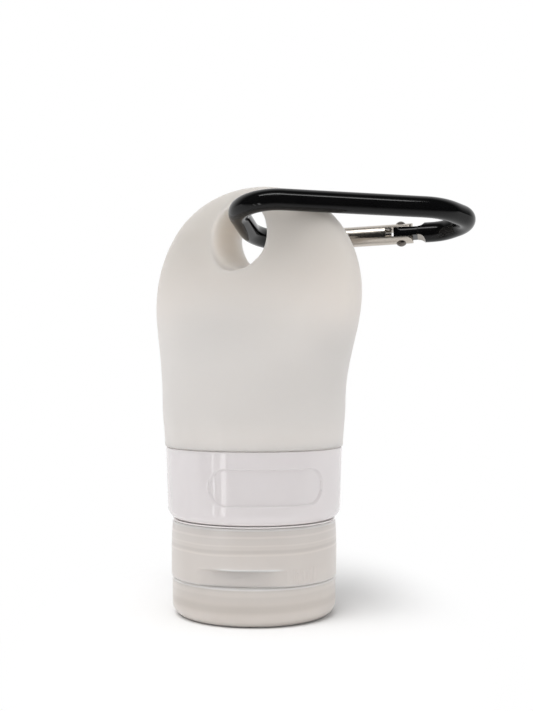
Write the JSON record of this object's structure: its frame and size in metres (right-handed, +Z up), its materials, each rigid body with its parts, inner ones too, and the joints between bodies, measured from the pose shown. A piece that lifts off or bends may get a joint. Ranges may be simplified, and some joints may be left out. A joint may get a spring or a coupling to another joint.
{
  "type": "travel squeeze bottle with clip",
  "caption": "Soft translucent squeeze bottle stored upside down on its flip-top cap, with a flattened end, a hanging hole and a D-shaped snap clip through it.",
  "frame": {"origin": "middle of the flat face of the lid that the bottle stands on", "axes": "+Z up along the bottle's axis, towards its flattened end; +X along the flattened end's width; the hanging hole runs along Y; the open side of the clip lies towards +X"},
  "size_m": [0.068, 0.0508, 0.093],
  "materials": {
    "frosted_plastic": "frosted, slightly translucent",
    "clear_silicone": "clear, matte",
    "natural_plastic": "smooth, slightly translucent",
    "seal_rubber": "matte",
    "gloss_white_plastic": "glossy",
    "milky_silicone": "matte, milky and translucent",
    "black_anodised": "glossy black coat",
    "silver_anodised": "satin",
    "steel": "bright"
  },
  "bodies": {
    "cap": {"cap_base": "frosted_plastic", "valve": "clear_silicone", "valve_retainer": "natural_plastic"},
    "lid": {"flip_lid": "frosted_plastic"},
    "seal": {"neck_seal": "seal_rubber"},
    "bottle": {"threaded_neck": "natural_plastic", "collar": "gloss_white_plastic", "silicone_body": "milky_silicone"},
    "clip": {"carabiner_body": "black_anodised", "hinge_rivet": "steel"},
    "gate": {"gate": "silver_anodised", "latch_pin": "steel", "gate_spring": "steel", "spring_pusher": "steel"}
  },
  "joints": [
    {"name": "lid_flip", "type": "hinge", "parent": "cap", "child": "lid", "pos_m": [-0.00866, 0.01629, 0.0084], "axis": [0.8829, 0.4695, 0], "range_deg": [0, 180]},
    {"name": "neck_lift", "type": "slide", "parent": "cap", "child": "seal", "axis": [0, 0, 1], "range_m": [0, 0.0046]},
    {"name": "bottle_unscrew", "type": "hinge", "parent": "seal", "child": "bottle", "pos_m": [0, 0, 0.0205], "axis": [0, 0, 1], "range_deg": [0, 540]},
    {"name": "clip_swing", "type": "hinge", "parent": "bottle", "child": "clip", "pos_m": [0, 0, 0.0822], "axis": [0, -1, 0], "range_deg": [0, 145]},
    {"name": "gate_open", "type": "hinge", "parent": "clip", "child": "gate", "pos_m": [0.02273, 0.02457, 0.08349], "axis": [-0.1397, 0.1604, 0.9771], "range_deg": [0, 22], "stiffness_Nm_per_rad": 0.004, "springref_deg": -20.05}
  ],
  "couplings": [
    {"joint": "neck_lift", "follows": "bottle_unscrew", "m_per_rad": 0.00047746}
  ]
}
